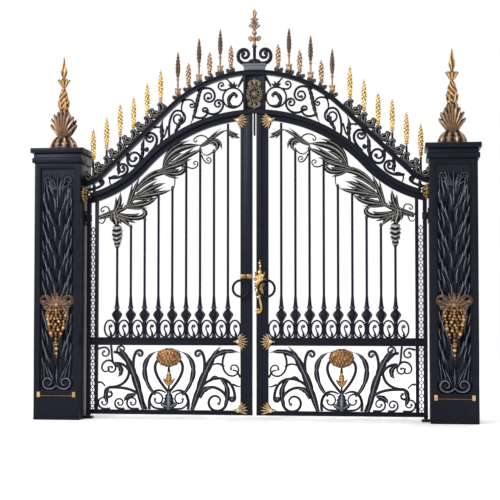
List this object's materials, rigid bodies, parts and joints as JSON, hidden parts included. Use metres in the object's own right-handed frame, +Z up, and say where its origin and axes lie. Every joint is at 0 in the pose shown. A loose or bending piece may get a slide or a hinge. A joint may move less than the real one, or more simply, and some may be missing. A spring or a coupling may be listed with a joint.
{
  "type": "wrought iron double gate",
  "caption": "Black and gilt wrought iron gate: arched double leaves with scrollwork swing between square ornamental posts under a scrolled overthrow with spikes.",
  "frame": {"origin": "middle of the left post's foot, on the ground", "axes": "+Z up, +X along the gate towards the right post, -Y the front"},
  "size_m": [3.632, 0.44, 3.3498],
  "materials": {
    "iron": "satin black paint",
    "gilt": "aged gilding"
  },
  "bodies": {
    "frame": {"left_post": "iron", "right_post": "iron", "left_post_cap": "iron", "right_post_cap": "iron", "left_post_relief": "iron", "right_post_relief": "iron", "left_post_cartouche": "gilt", "right_post_cartouche": "gilt", "left_post_finial": "gilt", "right_post_finial": "gilt", "overthrow_arch": "iron", "overthrow_lower_rail": "iron", "left_frieze_scrolls": "iron", "right_frieze_scrolls": "iron", "crown_panel": "iron", "crown_medallion": "gilt", "crown_pedestal": "iron", "crown_scrolls": "iron", "crown_finial": "gilt", "left_spikes": "gilt", "right_spikes": "gilt", "left_crockets": "iron", "right_crockets": "iron", "stop_bar": "iron", "left_top_hinge": "gilt", "right_top_hinge": "gilt", "left_foot_pivot": "iron", "right_foot_pivot": "iron"},
    "left_leaf": {"left_meeting_stile": "iron", "left_heel_bar": "iron", "left_inner_bar": "iron", "left_stile_strip": "iron", "left_top_rail": "iron", "left_lock_rail": "iron", "left_bottom_rail": "iron", "left_bars": "iron", "left_bar_scrolls": "iron", "left_acanthus": "iron", "left_lower_scrolls": "iron", "left_shell": "gilt", "left_clasps": "gilt", "left_ring_pull": "iron"},
    "right_leaf": {"right_meeting_stile": "iron", "right_heel_bar": "iron", "right_inner_bar": "iron", "right_stile_strip": "iron", "right_top_rail": "iron", "right_lock_rail": "iron", "right_bottom_rail": "iron", "right_bars": "iron", "right_bar_scrolls": "iron", "right_acanthus": "iron", "right_lower_scrolls": "iron", "right_shell": "gilt", "right_clasps": "gilt", "right_ring_pull": "iron", "lock_escutcheon": "gilt"}
  },
  "joints": [
    {"name": "left_leaf_swing", "type": "hinge", "parent": "frame", "child": "left_leaf", "pos_m": [0.222, 0, 0], "axis": [0, 0, 1], "range_deg": [0, 90]},
    {"name": "right_leaf_swing", "type": "hinge", "parent": "frame", "child": "right_leaf", "pos_m": [2.97, 0, 0], "axis": [0, 0, -1], "range_deg": [0, 90]}
  ]
}
